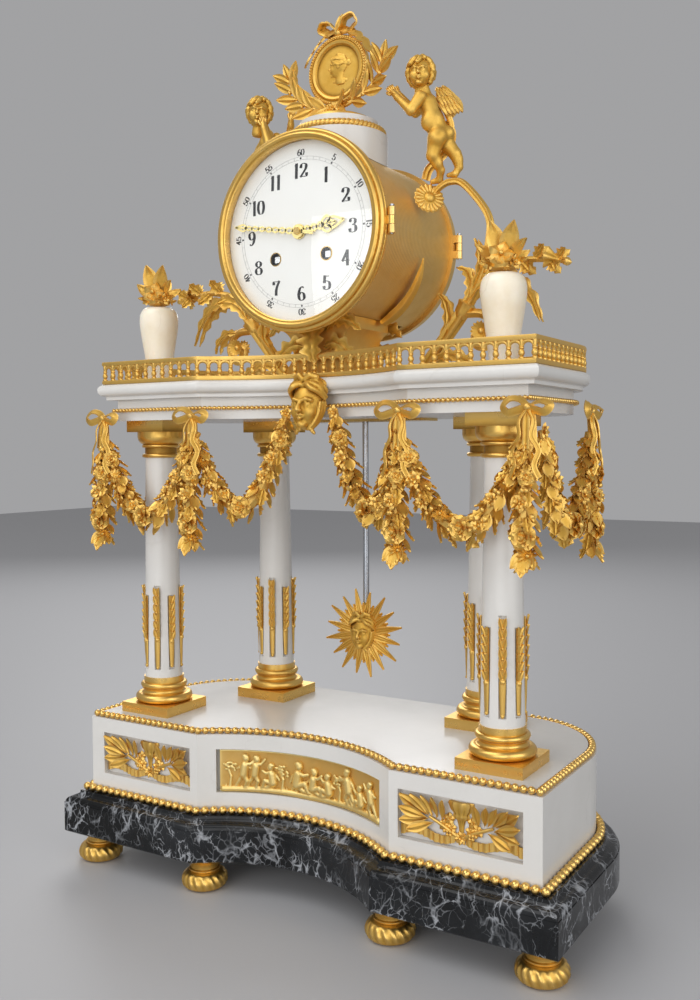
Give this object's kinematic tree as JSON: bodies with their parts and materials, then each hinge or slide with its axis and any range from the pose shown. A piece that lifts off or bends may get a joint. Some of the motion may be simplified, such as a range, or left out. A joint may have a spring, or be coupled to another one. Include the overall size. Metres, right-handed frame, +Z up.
{
  "type": "portico clock",
  "caption": "Marble and gilt-bronze portico mantel clock: a round drum clock on four columns over a stepped hollow-fronted base, with a swinging sunburst pendulum.",
  "frame": {"origin": "middle of the footprint, on the plane that the feet stand on", "axes": "+Z up, -Y towards the dial's front, +X to the viewer's right"},
  "size_m": [0.421, 0.204, 0.6667],
  "materials": {
    "gilt_bronze": "fire gilt, part matt and part burnished",
    "clock_brass": "polished",
    "steel": "polished",
    "white_marble": "polished",
    "alabaster": "polished",
    "veined_black_marble": "polished, white veins",
    "enamel": "glossy",
    "clear_glass": "clear"
  },
  "bodies": {
    "case": {"feet": "gilt_bronze", "plinth_beading": "gilt_bronze", "base_beading": "gilt_bronze", "end_panels": "gilt_bronze", "frieze_plaque": "gilt_bronze", "column_bases": "gilt_bronze", "flute_inlays": "gilt_bronze", "column_capitals": "gilt_bronze", "architrave_beading": "gilt_bronze", "gallery": "gilt_bronze", "slot_plate": "gilt_bronze", "mask": "gilt_bronze", "garlands": "gilt_bronze", "bouquets": "gilt_bronze", "left_scroll": "gilt_bronze", "right_scroll": "gilt_bronze", "drum_foot": "gilt_bronze", "drum_straps": "gilt_bronze", "drum_shell": "gilt_bronze", "dial_ring": "gilt_bronze", "hinge_pins": "gilt_bronze", "cap_rope": "gilt_bronze", "medallion": "gilt_bronze", "laurel": "gilt_bronze", "ribbon": "gilt_bronze", "left_putto": "gilt_bronze", "right_putto": "gilt_bronze", "front_plate": "clock_brass", "back_plate": "clock_brass", "pillars": "clock_brass", "suspension": "clock_brass", "bell": "clock_brass", "tie_rods": "steel", "base_block": "white_marble", "column_shafts": "white_marble", "architrave": "white_marble", "cornice": "white_marble", "marble_cap": "white_marble", "urns": "alabaster", "plinth": "veined_black_marble", "dial": "enamel"},
    "bezel_door": {"bezel": "gilt_bronze", "crystal": "clear_glass"},
    "rear_door": {"back_door": "gilt_bronze"},
    "minute_group": {"minute_hand": "gilt_bronze", "cannon_pinion": "steel"},
    "hour_group": {"hour_hand": "gilt_bronze", "hour_wheel": "clock_brass"},
    "motion_wheel": {"minute_wheel": "clock_brass"},
    "going_spring": {"going_barrel": "clock_brass"},
    "strike_spring": {"strike_barrel": "clock_brass"},
    "going_key_arbor": {"going_arbor": "steel"},
    "strike_key_arbor": {"strike_arbor": "steel"},
    "escape": {"escape_wheel": "clock_brass"},
    "crutch": {"crutch": "steel"},
    "pendulum": {"pendulum_rod": "steel", "sunburst": "gilt_bronze"},
    "hammer": {"hammer": "steel"},
    "count": {"count_wheel": "clock_brass"}
  },
  "joints": [
    {"name": "bezel_swing", "type": "hinge", "parent": "case", "child": "bezel_door", "pos_m": [0.0746, -0.0616, 0.4915], "axis": [0, 0, 1], "range_deg": [0, 110]},
    {"name": "back_door_swing", "type": "hinge", "parent": "case", "child": "rear_door", "pos_m": [0.0716, 0.0513, 0.4915], "axis": [0, 0, -1], "range_deg": [0, 110]},
    {"name": "minute_turn", "type": "hinge", "parent": "case", "child": "minute_group", "pos_m": [0, 0, 0.4915], "axis": [0, 1, 0], "continuous": true},
    {"name": "hour_turn", "type": "hinge", "parent": "case", "child": "hour_group", "pos_m": [0, 0, 0.4915], "axis": [0, 1, 0], "continuous": true},
    {"name": "motion_wheel_turn", "type": "hinge", "parent": "case", "child": "motion_wheel", "pos_m": [0, 0, 0.504], "axis": [0, 1, 0], "continuous": true},
    {"name": "going_barrel_turn", "type": "hinge", "parent": "case", "child": "going_spring", "pos_m": [0.022, 0, 0.4741], "axis": [0, 1, 0], "continuous": true},
    {"name": "count_turn", "type": "hinge", "parent": "case", "child": "count", "pos_m": [-0.028, 0, 0.4641], "axis": [0, 1, 0], "continuous": true},
    {"name": "strike_barrel_turn", "type": "hinge", "parent": "case", "child": "strike_spring", "pos_m": [-0.022, 0, 0.4741], "axis": [0, 1, 0], "continuous": true},
    {"name": "going_wind", "type": "hinge", "parent": "case", "child": "going_key_arbor", "pos_m": [0.022, 0, 0.4741], "axis": [0, 1, 0], "continuous": true},
    {"name": "strike_wind", "type": "hinge", "parent": "case", "child": "strike_key_arbor", "pos_m": [-0.022, 0, 0.4741], "axis": [0, 1, 0], "continuous": true},
    {"name": "escape_turn", "type": "hinge", "parent": "case", "child": "escape", "pos_m": [0, 0, 0.508], "axis": [0, 1, 0], "continuous": true},
    {"name": "pendulum_swing", "type": "hinge", "parent": "case", "child": "pendulum", "pos_m": [0, 0, 0.525], "axis": [0, 1, 0], "range_deg": [-3, 3]},
    {"name": "crutch_swing", "type": "hinge", "parent": "case", "child": "crutch", "pos_m": [0, 0, 0.525], "axis": [0, 1, 0], "range_deg": [-3, 3]},
    {"name": "hammer_swing", "type": "hinge", "parent": "case", "child": "hammer", "pos_m": [-0.02715, 0, 0.50927], "axis": [0, 1, 0], "range_deg": [0, 12], "stiffness_Nm_per_rad": 0.05, "springref_deg": -11.46}
  ],
  "couplings": [
    {"joint": "hour_turn", "follows": "minute_turn", "ratio": 0.083333},
    {"joint": "motion_wheel_turn", "follows": "minute_turn", "ratio": -0.33333},
    {"joint": "crutch_swing", "follows": "pendulum_swing", "ratio": 1}
  ]
}
